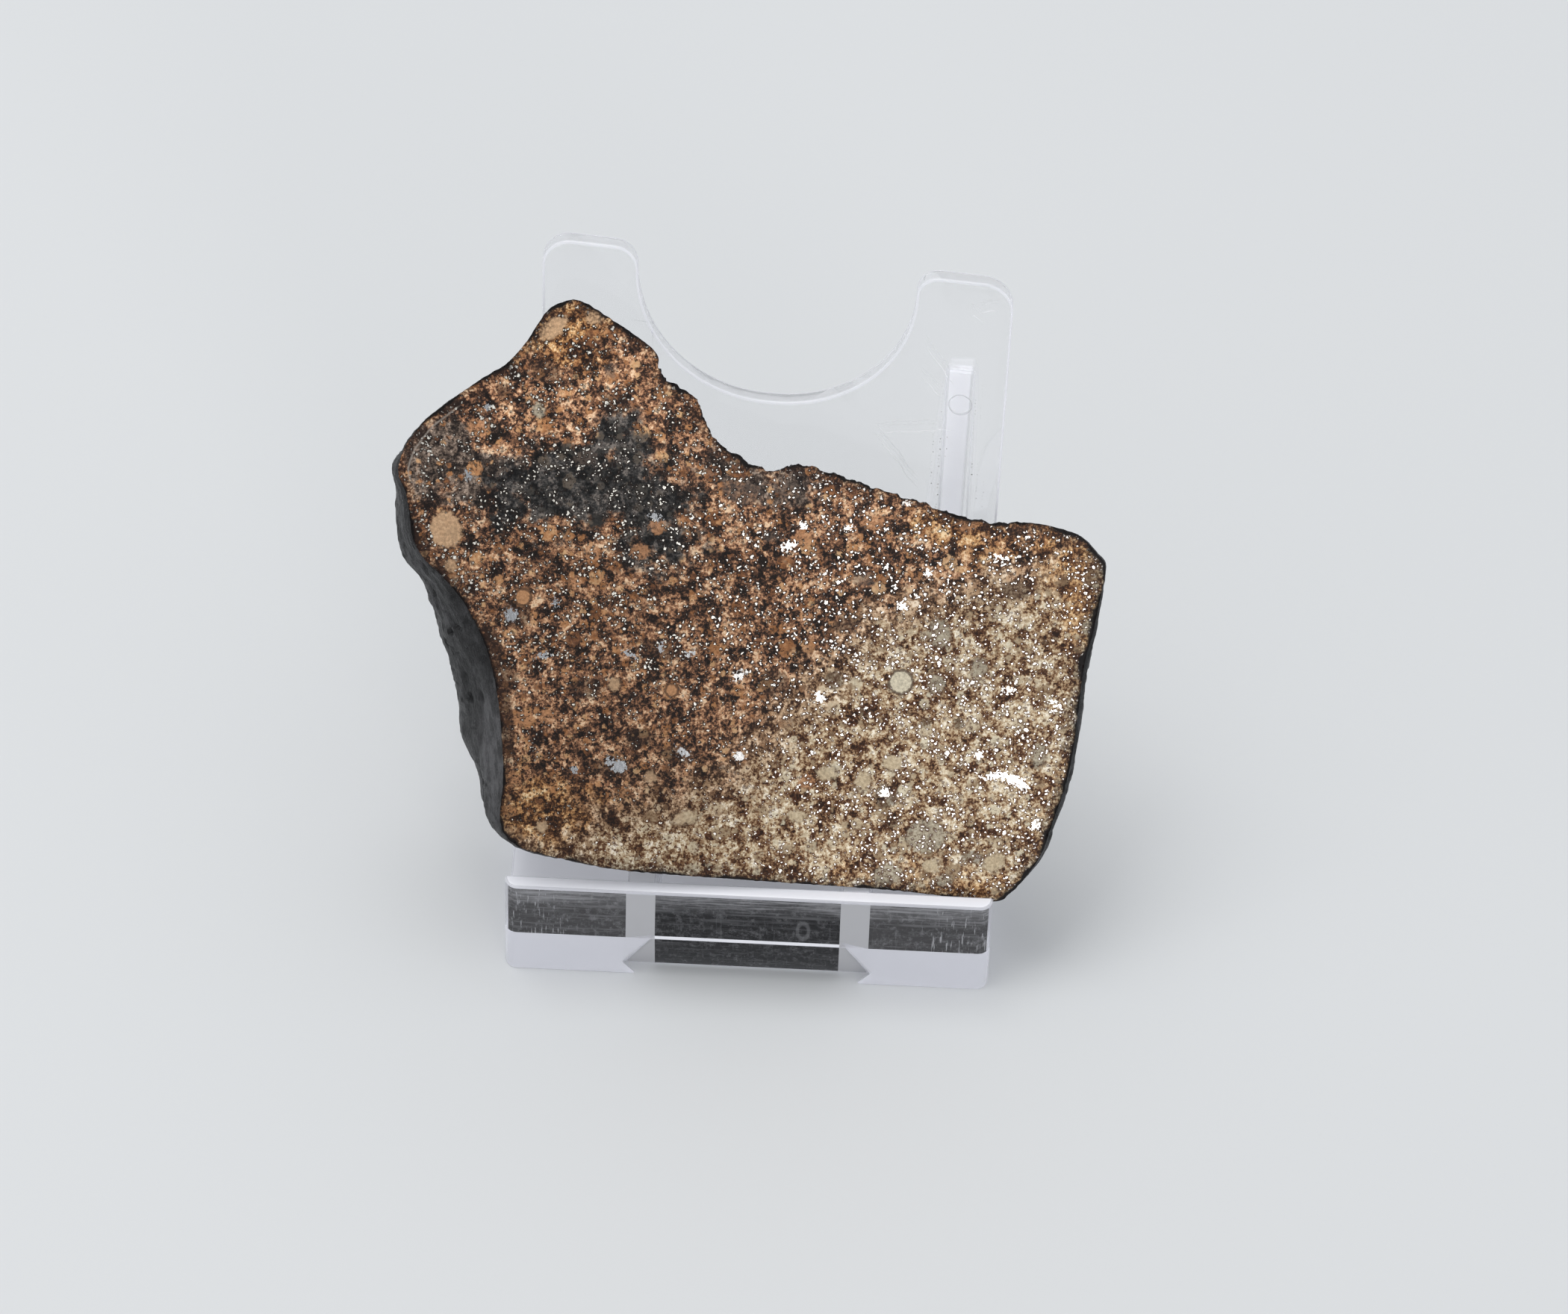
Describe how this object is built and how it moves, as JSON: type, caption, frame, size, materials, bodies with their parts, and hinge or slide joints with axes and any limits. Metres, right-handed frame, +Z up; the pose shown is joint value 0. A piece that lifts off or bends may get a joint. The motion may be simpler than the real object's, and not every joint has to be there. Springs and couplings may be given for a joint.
{
  "type": "meteorite on display stand",
  "caption": "Cut and polished chondrite meteorite with dark crust, leaning on a clear plastic easel stand with a front lip, two horns and rear fins.",
  "frame": {"origin": "middle of the bounding box on the surface that the stand stands on", "axes": "+X along the front lip to the right as it is looked at, +Y away from the viewer to the fins, +Z up"},
  "size_m": [0.0726, 0.045, 0.0696],
  "materials": {
    "polished_chondrite": "polished cut face, satin dark crust",
    "clear_plastic": "clear, glossy"
  },
  "bodies": {
    "root": {"meteorite": "polished_chondrite", "stand": "clear_plastic"}
  },
  "joints": []
}
